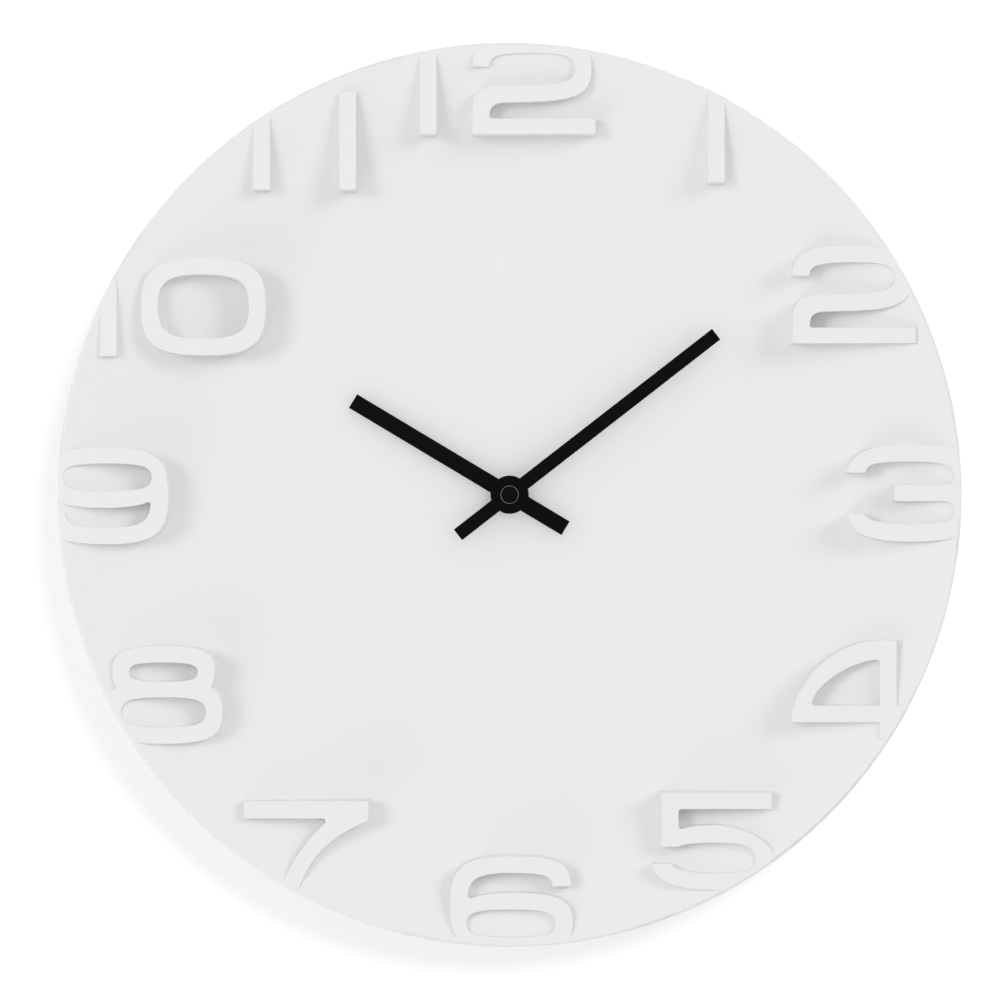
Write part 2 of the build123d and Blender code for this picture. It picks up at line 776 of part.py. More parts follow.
def intermediate_wheel():
    arbor = post(arbor_radius, plate_back + end_shake, front_pivot_end)
    train = wheel(intermediate_teeth, cannon_module, motion_level, intermediate_phase) + arbor
    root_radius = tip_radius(intermediate_leaves, hour_module, -dedendum_share)
    train = train + post(root_radius, motion_level + wheel_thickness, hour_level)
    return placed(train + pinion(intermediate_leaves, hour_module, hour_level), intermediate_spot)


def hour_wheel():
    pipe = post(pipe_radius, hour_level, hour_hand_front)
    train = wheel(hour_teeth, hour_module, hour_level, hour_phase) + pipe
    return train - post(minute_radius + shaft_play, hour_level, hour_hand_front)


def setting_knob():
    knob = post(knob_radius, knob_back, knob_front)
    grips = [post(grip_radius, knob_back, knob_front, polar(knob_radius, count * 360 / knob_grips))
             for count in range(knob_grips)]
    knob = knob - grips + post(knob_shaft_radius, knob_front, motion_level - pinion_lap)
    knob = knob + pinion(cannon_teeth, cannon_module, motion_level, knob_phase)
    return placed(knob + post(arbor_radius, motion_level, front_pivot_end), knob_spot)


def stator():
    """Flat iron yoke: a pole ring round the magnet and a leg at each end of the coil."""
    up = rotor_spot[1]
    yoke = block(leg_left, leg_right, up, up + yoke_width, stator_back, stator_front)
    top = coil_up + core_width / 2
    left = block(leg_left, leg_left + leg_stator_width, up, top, stator_back, stator_front)
    right = block(leg_right - leg_stator_width, leg_right, up, top, stator_back, stator_front)
    plate = yoke + left + right + post(pole_radius, stator_back, stator_front, rotor_spot)
    return plate - post(magnet_radius + rotor_air, stator_back, stator_front, rotor_spot)


def coil_core():
    half = core_width / 2
    return block(leg_left, leg_right, coil_up - half, coil_up + half, core_back, stator_back)


def core_middle():
    return core_back + core_thickness / 2


def coil_bobbin():
    height = core_middle()
    spool = lying_rod(barrel_radius, coil_left, coil_right, coil_up, height)
    spool = spool + lying_rod(bobbin_flange_radius, coil_left, coil_left + bobbin_flange, coil_up, height)
    spool = spool + lying_rod(bobbin_flange_radius, coil_right - bobbin_flange, coil_right, coil_up, height)
    return spool - coil_core()


def coil_winding():
    left = coil_left + bobbin_flange
    right = coil_right - bobbin_flange
    wire = lying_rod(coil_radius, left, right, coil_up, core_middle())
    return wire - lying_rod(barrel_radius, left, right, coil_up, core_middle())


def circuit_board():
    return block(board_left, board_right, board_bottom, board_top, board_back, board_front)


def driver_chip():
    left = board_right - board_rim - chip_side
    bottom = board_bottom + board_rim
    return block(left, left + chip_side, bottom, bottom + chip_side, board_back - chip_height, board_back)


def quartz_crystal():
    can = Rot(90, 0, 0) * Cylinder(crystal_radius, crystal_length)
    up = board_bottom + board_rim + crystal_length / 2
    return Pos(board_left + board_rim + crystal_radius, up, board_back - crystal_radius) * can


def battery():
    height = contact_middle()
    can = lying_rod(battery_radius, battery_end, battery_end + battery_body, battery_up, height)
    can = fillet(can.edges().filter_by(GeomType.CIRCLE), battery_edge)
    return can + lying_rod(nub_radius, battery_end + battery_body, nub_end, battery_up, height)


def contact_plate():
    height = contact_middle()
    inner = inside_right - contact_sheet
    plate = block(inner, inside_right, battery_up - contact_width / 2, battery_up + contact_width / 2,
                  height - contact_height / 2, height + contact_height / 2)
    leg = block(inner, inside_right, battery_up, chamber_bottom + leg_reach,
                height - leg_width / 2, height + leg_width / 2)
    return plate + leg


def positive_contact():
    inner = inside_right - contact_sheet
    dimple = lying_rod(dimple_radius, nub_end + contact_gap, inner, battery_up, contact_middle())
    to_board = block(inner, inside_right, chamber_bottom + leg_reach, board_top,
                     contact_middle() - leg_width / 2, contact_middle() + leg_width / 2)
    return contact_plate() + dimple + to_board


def negative_contact():
    inner = contact_sheet - inside_right
    crest = battery_end - contact_gap
    outer_arc = ThreePointArc((inner, -leaf_half_span), (crest, 0), (inner, leaf_half_span))
    low = leaf_half_span - contact_sheet
    inner_arc = ThreePointArc((inner, -low), (crest - contact_sheet, 0), (inner, low))
    ends = [Line((inner, -leaf_half_span), (inner, -low)), Line((inner, leaf_half_span), (inner, low))]
    face = make_face([outer_arc, inner_arc] + ends)
    leaf = Pos(0, battery_up, contact_middle() - leg_width / 2) * extrude(face, leg_width)
    return mirror(contact_plate(), Plane.YZ) + leaf


def screw_cone(spot):
    top = hanger_sink + hanger_sheet
    points = [(0, hanger_sink), (screw_head_radius, hanger_sink), (screw_radius, top), (0, top)]
    return placed(revolved(points), spot)


def hanger_plate():
    top = hanger_sink + hanger_sheet
    plate = rounded_block(plate_width, plate_length, plate_corner, (0, hanger_height), hanger_sink, top)
    low = hanger_height - slot_run / 2
    high = hanger_height + slot_run / 2
    head_hole = post(head_hole_radius, hanger_sink, top, (0, low))
    slot = upright_slot(slot_radius, low, high, hanger_sink, top)
    return plate - [head_hole, slot] - [screw_cone(spot) for spot in screw_spots()]


def hanger_screw(spot):
    top = hanger_sink + hanger_sheet
    end = hanger_sink + screw_length
    points = [(0, hanger_sink), (screw_head_radius, hanger_sink), (screw_radius, top),
              (screw_radius, end - screw_point), (0, end)]
    slot = block(-screw_head_radius, screw_head_radius, -screw_slot / 2, screw_slot / 2,
                 hanger_sink, hanger_sink + screw_slot)
    return placed(revolved(points) - slot, spot)


def hanger_screws():
    return Compound(children=[hanger_screw(spot) for spot in screw_spots()])


def stand_up(shape):
    return Rot(90, 0, 0) * shape


pieces = [
    dial_disc, hour_hand, minute_hand, hand_cap, threaded_bush, rubber_gasket, dial_washer, dial_nut,
    front_case, rear_cover, gear_plate, centre_wheel, third_wheel, fourth_wheel, fifth_wheel,
    rotor_pinion, rotor_magnet, minute_arbor, clutch_washer, intermediate_wheel, hour_wheel, setting_knob,
    stator, coil_core, coil_bobbin, coil_winding, circuit_board, driver_chip, quartz_crystal,
    battery, positive_contact, negative_contact, hanger_plate, hanger_screws,
]

os.makedirs("parts", exist_ok=True)
for piece in pieces:
    export_step(stand_up(piece()), "parts/" + piece.__name__ + ".step")
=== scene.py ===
"""Looks of the relief wall clock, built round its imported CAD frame.

Row frame, in metres: X to the right, Y into the wall, Z up. The dial faces -Y.
"""
import json
import logging
import math
from abc import ABC, abstractmethod
from dataclasses import dataclass, field
from enum import Enum

import bmesh
import bpy
import numpy as np
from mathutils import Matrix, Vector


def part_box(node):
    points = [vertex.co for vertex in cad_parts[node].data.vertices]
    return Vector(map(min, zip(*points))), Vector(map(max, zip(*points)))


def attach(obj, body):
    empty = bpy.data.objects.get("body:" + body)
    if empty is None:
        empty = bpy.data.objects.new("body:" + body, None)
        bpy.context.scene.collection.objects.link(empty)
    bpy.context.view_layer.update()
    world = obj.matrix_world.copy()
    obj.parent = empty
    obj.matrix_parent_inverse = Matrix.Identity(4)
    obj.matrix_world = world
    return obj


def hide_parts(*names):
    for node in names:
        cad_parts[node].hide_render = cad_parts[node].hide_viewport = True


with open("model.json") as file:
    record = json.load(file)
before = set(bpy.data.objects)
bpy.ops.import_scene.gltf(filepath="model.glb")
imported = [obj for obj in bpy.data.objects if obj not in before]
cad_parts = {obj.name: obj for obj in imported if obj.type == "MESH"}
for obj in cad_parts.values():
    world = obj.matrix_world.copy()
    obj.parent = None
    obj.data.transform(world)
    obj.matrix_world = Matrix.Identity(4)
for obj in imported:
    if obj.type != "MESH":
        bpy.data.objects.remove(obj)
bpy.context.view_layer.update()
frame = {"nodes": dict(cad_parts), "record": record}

LOG = logging.getLogger("wall_clock")
MM = 0.001
# Points nearer to each other than this become one.
WELD = 0.0002 * MM
# Degrees between two faces: flat enough to merge, a sharp edge of a CAD node, a sharp edge of a turned piece.
FLAT_TURN = 0.15
SHARP_TURN = 32.0
LATHE_TURN = 40.0
ROUND_SEGMENTS = 2

Colour = tuple[float, float, float]
Point = tuple[float, float, float]


class Value:
    """A number that varies over a surface; operators on it add Math nodes."""

    def __init__(self, graph: "Graph", socket: bpy.types.NodeSocket) -> None:
        """Keeps the graph that the number belongs to, and its socket."""
        self.graph = graph
        self.socket = socket

    def _math(self, operation: str, first: "Value | float", second: "Value | float" = 0.0) -> "Value":
        """Adds one Math node.

        Args:
            operation: the node's operation.
            first: its first input.
            second: its second input.

        Returns:
            The node's result.
        """
        node = self.graph.node("ShaderNodeMath", {"operation": operation}, {0: first, 1: second})
        return Value(self.graph, node.outputs[0])

    def __add__(self, other: "Value | float") -> "Value":
        """Sum."""
        return self._math("ADD", self, other)

    def __radd__(self, other: float) -> "Value":
        """Sum with a plain number first."""
        return self._math("ADD", other, self)

    def __sub__(self, other: "Value | float") -> "Value":
        """Difference."""
        return self._math("SUBTRACT", self, other)

    def __rsub__(self, other: float) -> "Value":
        """Difference from a plain number."""
        return self._math("SUBTRACT", other, self)

    def __mul__(self, other: "Value | float") -> "Value":
        """Product."""
        return self._math("MULTIPLY", self, other)

    def __pow__(self, other: "Value | float") -> "Value":
        """Power."""
        return self._math("POWER", self, other)

    def __abs__(self) -> "Value":
        """Size without sign."""
        return self._math("ABSOLUTE", self)

    def sine(self) -> "Value":
        """Sine of the value in radians."""
        return self._math("SINE", self)

    def most(self, other: "Value | float") -> "Value":
        """The larger of the two."""
        return self._math("MAXIMUM", self, other)

    def smooth(self, low: float, high: float) -> "Value":
        """Smooth step.

        Args:
            low: where the step is 0; it may lie above high, for a step down.
            high: where the step is 1.

        Returns:
            A value from 0 to 1.
        """
        node = self.graph.node(
            "ShaderNodeMapRange",
            {"interpolation_type": "SMOOTHSTEP"},
            {"Value": self, "From Min": low, "From Max": high},
        )
        return Value(self.graph, node.outputs[0])


class Graph:
    """A node tree with one method that adds any node."""

    def __init__(self, tree: bpy.types.NodeTree) -> None:
        """Empties the tree and keeps it."""
        self.tree = tree
        self.tree.nodes.clear()

    def feed(self, socket: bpy.types.NodeSocket, value: object) -> None:
        """Links a value or a socket to an input, or sets the input's own number or colour.

        Args:
            socket: the input.
            value: what it gets.
        """
        if isinstance(value, Value):
            self.tree.links.new(value.socket, socket)
        elif isinstance(value, bpy.types.NodeSocket):
            self.tree.links.new(value, socket)
        elif isinstance(value, tuple) and socket.type == "RGBA":
            socket.default_value = (*value, 1.0)
        else:
            socket.default_value = value

    def node(
        self,
        kind: str,
        settings: dict[str, object] | None = None,
        inputs: dict[int | str, object] | None = None,
    ) -> bpy.types.Node:
        """Adds one node.

        Args:
            kind: the node's type.
            settings: its own settings, which are set first.
            inputs: the values or links of its sockets.

        Returns:
            The node.
        """
        made = self.tree.nodes.new(kind)
        for name, value in (settings or {}).items():
            setattr(made, name, value)
        for key, value in (inputs or {}).items():
            self.feed(made.inputs[key], value)
        return made

    def place(self) -> bpy.types.NodeSocket:
        """The surface's place in the row frame, at rest."""
        return self.node("ShaderNodeTexCoord").outputs["Object"]

    def axes(self, vector: bpy.types.NodeSocket) -> tuple[Value, Value, Value]:
        """The three numbers of a vector."""
        parts = self.node("ShaderNodeSeparateXYZ", None, {0: vector})
        return Value(self, parts.outputs[0]), Value(self, parts.outputs[1]), Value(self, parts.outputs[2])

    def noise(
        self,
        vector: bpy.types.NodeSocket,
        scale: float,
        detail: float = 2.0,
        stretch: Point = (1.0, 1.0, 1.0),
    ) -> Value:
        """Soft noise.

        Args:
            vector: where the noise is read.
            scale: its cells per metre.
            detail: its octaves.
            stretch: how much finer it is along each axis.

        Returns:
            The noise, from 0 to 1.
        """
        if stretch != (1.0, 1.0, 1.0):
            vector = self.node("ShaderNodeMapping", None, {"Vector": vector, "Scale": stretch}).outputs[0]
        node = self.node("ShaderNodeTexNoise", None, {"Vector": vector, "Scale": scale, "Detail": detail})
        return Value(self, node.outputs["Fac"])

    def blend(self, factor: Value, first: object, second: object) -> bpy.types.NodeSocket:
        """Mixes two colours: the first where factor is 0, the second where it is 1."""
        node = self.node("ShaderNodeMix", {"data_type": "RGBA"}, {0: factor, 6: first, 7: second})
        return node.outputs[2]

    def bump(
        self, height: Value, depth: float, under: bpy.types.NodeSocket | None = None
    ) -> bpy.types.NodeSocket:
        """Surface relief.

        Args:
            height: the relief, from 0 to 1.
            depth: how deep it is, in metres.
            under: relief that it lies on.

        Returns:
            The normal.
        """
        inputs: dict[int | str, object] = {"Height": height, "Distance": depth, "Strength": 1.0}
        if under is not None:
            inputs["Normal"] = under
        return self.node("ShaderNodeBump", None, inputs).outputs[0]


@dataclass(frozen=True)
class Finish(ABC):
    """What every finish has: a name, a plain colour and a roughness."""

    name: str
    colour: Colour
    roughness: float

    def material(self) -> bpy.types.Material:
        """Builds the finish's material.

        Returns:
            The material.
        """
        made = bpy.data.materials.new(self.name)
        made.use_nodes = True
        graph = Graph(made.node_tree)
        shader = graph.node("ShaderNodeBsdfPrincipled", None, self.paint(graph))
        graph.node("ShaderNodeOutputMaterial", None, {"Surface": shader.outputs[0]})
        return made

    @abstractmethod
    def paint(self, graph: Graph) -> dict[int | str, object]:
        """Wires what varies over the surface.

        Args:
            graph: the material's node tree.

        Returns:
            The shader's inputs.
        """

    def tinted(self, graph: Graph, factor: Value, share: float) -> bpy.types.NodeSocket:
        """The colour, darker by up to a share of itself where factor is 1."""
        darker = tuple(part * (1.0 - share) for part in self.colour)
        return graph.blend(factor, self.colour, darker)


@dataclass(frozen=True)
class Lacquer(Finish):
    """Satin lacquer on fibreboard that is left bare in the routed places at the back."""

    board: Colour = (0.40, 0.27, 0.155)
    board_shade: float = 0.62
    board_roughness: float = 0.92
    fibre_scale: float = 900.0
    fibre_run: Point = (1.0, 1.0, 0.35)
    fibre_depth: float = 0.12 * MM
    cloud_scale: float = 14.0
    cloud_shade: float = 0.018
    cloud_gloss: float = 0.06
    sheen: float = 0.4
    peel: float = 0.0035 * MM
    peel_scale: float = 750.0
    edge_round: float = 0.45 * MM
    edge_samples: int = 6
    pocket_half: float = 32.6 * MM
    pocket_up: float = -0.13 * MM
    recess_half: float = 8.8 * MM
    recess_rise: float = 23.8 * MM
    recess_up: float = 150.0 * MM
    mask_soft: float = 0.3 * MM
    pocket_floor: tuple[float, float] = (-20.8 * MM, -20.6 * MM)
    overspray: float = 2.4 * MM
    overspray_scale: float = 260.0
    overspray_fade: float = 1.4 * MM

    def within(self, away: Value, half: float) -> Value:
        """1 where a distance is under half, with a soft edge."""
        return abs(away).smooth(half, half - self.mask_soft)

    def routed(self, graph: Graph, place: bpy.types.NodeSocket) -> Value:
        """1 in the movement's pocket, the shaft hole and the hanger's recess, ragged with overspray at the mouths.

        Args:
            graph: the material's node tree.
            place: where the mask is read.

        Returns:
            The mask.
        """
        x, y, z = graph.axes(place)
        ragged = graph.noise(place, self.overspray_scale) * self.overspray
        depth = (0.0 - y - ragged).smooth(0.0, self.overspray_fade)
        pocket = self.within(x, self.pocket_half) * self.within(z - self.pocket_up, self.pocket_half)
        recess = self.within(x, self.recess_half) * self.within(z - self.recess_up, self.recess_rise)
        behind = y.smooth(*self.pocket_floor)
        return pocket.most(recess) * behind * depth

    def paint(self, graph: Graph) -> dict[int | str, object]:
        """Slow clouding, orange peel, and bare board with its fibres where it is routed.

        Args:
            graph: the material's node tree.

        Returns:
            The shader's inputs.
        """
        place = graph.place()
        bare = self.routed(graph, place)
        cloud = graph.noise(place, self.cloud_scale, detail=3.0)
        fibre = graph.noise(place, self.fibre_scale, detail=4.0, stretch=self.fibre_run)
        dark = tuple(part * self.board_shade for part in self.board)
        painted = self.tinted(graph, cloud, self.cloud_shade)
        colour = graph.blend(bare, painted, graph.blend(fibre, self.board, dark))
        edges = graph.node("ShaderNodeBevel", {"samples": self.edge_samples}, {"Radius": self.edge_round})
        peel = graph.bump(graph.noise(place, self.peel_scale), self.peel, edges.outputs[0])
        gloss = self.roughness + (cloud - 0.5) * self.cloud_gloss
        return {
            "Base Color": colour,
            "Roughness": gloss + (self.board_roughness - gloss) * bare,
            "Normal": graph.bump(fibre * bare, self.fibre_depth, peel),
            "Specular IOR Level": self.sheen,
        }


@dataclass(frozen=True)
class BlackPaint(Finish):
    """Thin satin black paint on sheet metal, with a fine sprayed grain and, where a radius is given, a painted
    highlight ring.
    """

    gloss: float = 0.1
    grain_scale: float = 4200.0
    grain_shade: float = 0.35
    grain_depth: float = 0.012 * MM
    sheen_scale: float = 60.0
    sheen_change: float = 0.16
    # Painted highlight: a lighter grey ring about the hands' axis, at this radius and half width; no ring where
    # the radius is 0.
    highlight_grey: Colour = (0.13, 0.13, 0.13)
    highlight_radius: float = 0.0
    highlight_half: float = 0.16 * MM

    def ring(self, graph: Graph, place: bpy.types.NodeSocket) -> Value:
        """1 on a thin ring about the hands' axis, where a lighter grey is painted as the highlight of the cap's
        edge.

        Args:
            graph: the material's node tree.
            place: where the mask is read.

        Returns:
            The mask.
        """
        x, _, z = graph.axes(place)
        away = abs((x * x + z * z) ** 0.5 - self.highlight_radius)
        return away.smooth(self.highlight_half * 1.5, self.highlight_half * 0.5)

    def paint(self, graph: Graph) -> dict[int | str, object]:
        """Sprayed grain, a slow change of sheen along the blades, and a painted highlight ring where there is one.

        Args:
            graph: the material's node tree.

        Returns:
            The shader's inputs.
        """
        place = graph.place()
        grain = graph.noise(place, self.grain_scale)
        sheen = graph.noise(place, self.sheen_scale, detail=3.0)
        colour = self.tinted(graph, grain, self.grain_shade)
        # Painted highlight: a lighter grey ring at the cap's edge stands in for the light that its rim catches.
        if self.highlight_radius:
            colour = graph.blend(self.ring(graph, place), colour, self.highlight_grey)
        return {
            "Base Color": colour,
            "Roughness": self.roughness + (sheen - 0.5) * self.sheen_change,
            "Normal": graph.bump(grain, self.grain_depth),
            "Specular IOR Level": self.gloss,
        }


@dataclass(frozen=True)
class Moulded(Finish):
    """Moulded plastic or rubber with a spark-eroded grain and faint flow marks."""

    grain: float = 5200.0
    depth: float = 0.02 * MM
    flow: float = 0.12
    flow_scale: float = 180.0
    flow_run: Point = (1.0, 1.0, 2.2)
    grain_gloss: float = 0.2

    def paint(self, graph: Graph) -> dict[int | str, object]:
        """Grain in the relief and the gloss, flow marks in the colour.

        Args:
            graph: the material's node tree.

        Returns:
            The shader's inputs.
        """
        place = graph.place()
        grain = graph.noise(place, self.grain)
        flow = graph.noise(place, self.flow_scale, detail=4.0, stretch=self.flow_run)
        return {
            "Base Color": self.tinted(graph, flow, self.flow),
            "Roughness": self.roughness + (grain - 0.5) * self.grain_gloss,
            "Normal": graph.bump(grain, self.depth),
        }


class Brush(Enum):
    """How a metal's fine lines run: how much finer they are along X, Y and Z."""

    UPRIGHT = (14.0, 14.0, 0.6)
    ACROSS = (0.6, 14.0, 14.0)
    TUMBLED = (1.0, 1.0, 1.01)


@dataclass(frozen=True)
class Metal(Finish):
    """Bare or plated metal with fine lines and a few stains."""

    brush: Brush = Brush.TUMBLED
    scale: float = 700.0
    depth: float = 0.008 * MM
    line_gloss: float = 0.18
    stain_scale: float = 320.0
    stain_span: tuple[float, float] = (0.45, 0.8)
    stain_shade: float = 0.3
    stain_gloss: float = 0.12

    def paint(self, graph: Graph) -> dict[int | str, object]:
        """Lines in the relief and the gloss, stains in the colour.

        Args:
            graph: the material's node tree.

        Returns:
            The shader's inputs.
        """
        place = graph.place()
        lines = graph.noise(place, self.scale, detail=3.0, stretch=self.brush.value)
        stain = graph.noise(place, self.stain_scale, detail=4.0).smooth(*self.stain_span)
        return {
            "Base Color": self.tinted(graph, stain, self.stain_shade),
            "Metallic": 1.0,
            "Roughness": self.roughness + (lines - 0.5) * self.line_gloss + stain * self.stain_gloss,
            "Normal": graph.bump(lines, self.depth),
        }


@dataclass(frozen=True)
class Winding(Finish):
    """Enamelled wire, turn beside turn along X."""

    pitch: float = 0.24 * MM
    waver: float = 1.6
    waver_scale: float = 500.0
    turn_shade: float = 0.45
    turn_gloss: float = 0.1
    turn_depth: float = 0.04 * MM

    def paint(self, graph: Graph) -> dict[int | str, object]:
        """Turns as a sine along X, wavering a little.

        Args:
            graph: the material's node tree.

        Returns:
            The shader's inputs.
        """
        place = graph.place()
        x, _, _ = graph.axes(place)
        waver = graph.noise(place, self.waver_scale) * self.waver
        turns = (x * (2.0 * math.pi / self.pitch) + waver).sine() * 0.5 + 0.5
        return {
            "Base Color": self.tinted(graph, turns, self.turn_shade),
            "Metallic": 1.0,
            "Roughness": self.roughness + turns * self.turn_gloss,
            "Normal": graph.bump(turns, self.turn_depth),
        }


@dataclass(frozen=True)
class Laminate(Finish):
    """Paper laminate of a circuit board, with copper tracks under the lacquer."""

    track: Colour = (0.42, 0.27, 0.09)
    track_run: float = 2600.0
    track_span: tuple[float, float] = (0.35, 0.5)
    track_depth: float = 0.03 * MM
    bend: float = 5.0
    bend_scale: float = 130.0
    fibre_scale: float = 2500.0
    fibre_shade: float = 0.3
    fibre_gloss: float = 0.1

    def paint(self, graph: Graph) -> dict[int | str, object]:
        """Tracks as a bent stripe pattern, paper fibres in the gloss.

        Args:
            graph: the material's node tree.

        Returns:
            The shader's inputs.
        """
        place = graph.place()
        x, _, z = graph.axes(place)
        bend = graph.noise(place, self.bend_scale, detail=1.0) * self.bend
        stripe = ((x + z) * self.track_run + bend).sine().smooth(*self.track_span)
        fibre = graph.noise(place, self.fibre_scale, detail=3.0)
        return {
            "Base Color": graph.blend(stripe, self.tinted(graph, fibre, self.fibre_shade), self.track),
            "Roughness": self.roughness + fibre * self.fibre_gloss,
            "Normal": graph.bump(stripe, self.track_depth),
        }


@dataclass(frozen=True)
class FilmWrap(Finish):
    """Shrunk film round a cell that leaves its steel ends bare, with a plus and a minus sign."""

    band: Colour = (0.50, 0.51, 0.53)
    ink: Colour = (0.80, 0.80, 0.80)
    steel: Colour = (0.60, 0.60, 0.61)
    minus_shade: float = 0.1
    film_start: float = -24.0 * MM
    film_end: float = 23.6 * MM
    film_soft: float = 0.05 * MM
    band_end: float = -9.0 * MM
    axis_up: float = -19.38 * MM
    sign: float = 1.7 * MM
    sign_inset: float = 6.0 * MM
    stroke: float = 0.42 * MM
    soft: float = 0.04 * MM
    scuff_scale: float = 420.0
    scuff_run: Point = (0.4, 1.0, 1.0)
    scuff_shade: float = 0.25
    scuff_gloss: float = 0.16
    crease_scale: float = 900.0
    crease_run: Point = (0.25, 1.0, 1.0)
    crease_depth: float = 0.015 * MM

    def bar(self, along: Value, up: Value, length: float, height: float) -> Value:
        """1 within a bar.

        Args:
            along: distance from the bar's middle along the cell.
            up: distance from its middle across the cell.
            length: the bar's half length.
            height: the bar's half height.

        Returns:
            The bar's mask.
        """
        inside = abs(along).smooth(length + self.soft, length - self.soft)
        return inside * abs(up).smooth(height + self.soft, height - self.soft)

    def paint(self, graph: Graph) -> dict[int | str, object]:
        """Film colours and signs by the place along the cell, creases in the relief.

        Args:
            graph: the material's node tree.

        Returns:
            The shader's inputs.
        """
        place = graph.place()
        x, _, z = graph.axes(place)
        up = z - self.axis_up
        film = x.smooth(self.film_start - self.film_soft, self.film_start)
        film = film * x.smooth(self.film_end + self.film_soft, self.film_end)
        pale = x.smooth(self.band_end + self.soft, self.band_end - self.soft)
        plus_along = x - (self.film_end - self.sign_inset)
        minus_along = x - (self.film_start + self.sign_inset)
        plus = self.bar(plus_along, up, self.sign, self.stroke)
        plus = plus.most(self.bar(plus_along, up, self.stroke, self.sign))
        minus = self.bar(minus_along, up, self.stroke, self.sign)
        scuff = graph.noise(place, self.scuff_scale, detail=4.0, stretch=self.scuff_run)
        colour = graph.blend(pale, self.tinted(graph, scuff, self.scuff_shade), self.band)
        colour = graph.blend(plus, colour, self.ink)
        colour = graph.blend(minus, colour, tuple(part * self.minus_shade for part in self.ink))
        crease = graph.noise(place, self.crease_scale, stretch=self.crease_run)
        return {
            "Base Color": graph.blend(film, self.steel, colour),
            "Metallic": 1.0 - film,
            "Roughness": self.roughness + (scuff - 0.5) * self.scuff_gloss,
            "Normal": graph.bump(crease, self.crease_depth),
        }


FINISHES: dict[str, Finish] = {
    "white_lacquer": Lacquer("white_lacquer", (0.81, 0.81, 0.81), 0.5),
    "black_paint": BlackPaint("black_paint", (0.0032, 0.0032, 0.0034), 0.5),
    "brass": Metal("turned_brass", (0.78, 0.57, 0.24), 0.3),
    "rubber": Moulded("gasket_rubber", (0.02, 0.02, 0.02), 0.8, grain=3000.0, depth=0.04 * MM),
    "case_plastic": Moulded("case_plastic", (0.03, 0.03, 0.032), 0.46),
    "gear_plastic": Moulded("gear_plastic", (0.72, 0.71, 0.66), 0.42, grain=3600.0, depth=0.01 * MM, flow=0.06),
    "steel": Metal("plain_steel", (0.55, 0.55, 0.56), 0.34, Brush.ACROSS),
    "magnet": Moulded("sintered_magnet", (0.10, 0.10, 0.105), 0.48, grain=7000.0, depth=0.03 * MM),
    "copper": Winding("enamelled_wire", (0.72, 0.33, 0.15), 0.3),
    "board": Laminate("paper_laminate", (0.22, 0.14, 0.05), 0.4),
    "chip": Moulded("chip_resin", (0.012, 0.012, 0.012), 0.55, grain=6000.0),
    "crystal_can": Metal("plated_can", (0.72, 0.72, 0.74), 0.2, Brush.UPRIGHT),
    "cell": FilmWrap("cell_wrap", (0.045, 0.06, 0.085), 0.34),
    "nickel": Metal("nickel_plate", (0.64, 0.62, 0.57), 0.26, Brush.UPRIGHT),
    "zinc": Metal("zinc_plate", (0.60, 0.61, 0.62), 0.4, Brush.UPRIGHT),
}
# The cap's paint has a painted highlight: a lighter grey ring at its edge.
CAP_PAINT = BlackPaint("cap_paint", (0.0032, 0.0032, 0.0034), 0.5, highlight_radius=3.9 * MM)
SIGN_PLASTIC = Moulded("rubbed_plastic", (0.11, 0.11, 0.115), 0.4)
SCREW_ZINC = Metal("yellow_zinc", (0.68, 0.60, 0.42), 0.28)


class Paintbox:
    """Makes each finish's material once and hands it out."""

    def __init__(self) -> None:
        """Starts with no material made."""
        self.made: dict[str, bpy.types.Material] = {}

    def dress(self, piece: bpy.types.Object, slot: str, finish: Finish | None = None) -> None:
        """Gives a piece the material of its slot's finish, or of its own finish.

        Args:
            piece: the piece.
            slot: its slot in the record.
            finish: its own finish, where it differs from the slot's.
        """
        finish = finish or FINISHES[slot]
        if finish.name not in self.made:
            self.made[finish.name] = finish.material()
        piece.data.materials.clear()
        piece.data.materials.append(self.made[finish.name])


def new_piece(name: str, mesh: bpy.types.Mesh, body: str) -> bpy.types.Object:
    """Links a mesh as a piece that rides on a body.

    Args:
        name: the piece's name.
        mesh: its mesh, in place in the row frame.
        body: the CAD body that it rides on.

    Returns:
        The piece.
    """
    piece = bpy.data.objects.new(name, mesh)
    bpy.context.scene.collection.objects.link(piece)
    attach(piece, body)
    LOG.info("%s rides on %s: %d faces", name, body, len(mesh.polygons))
    return piece


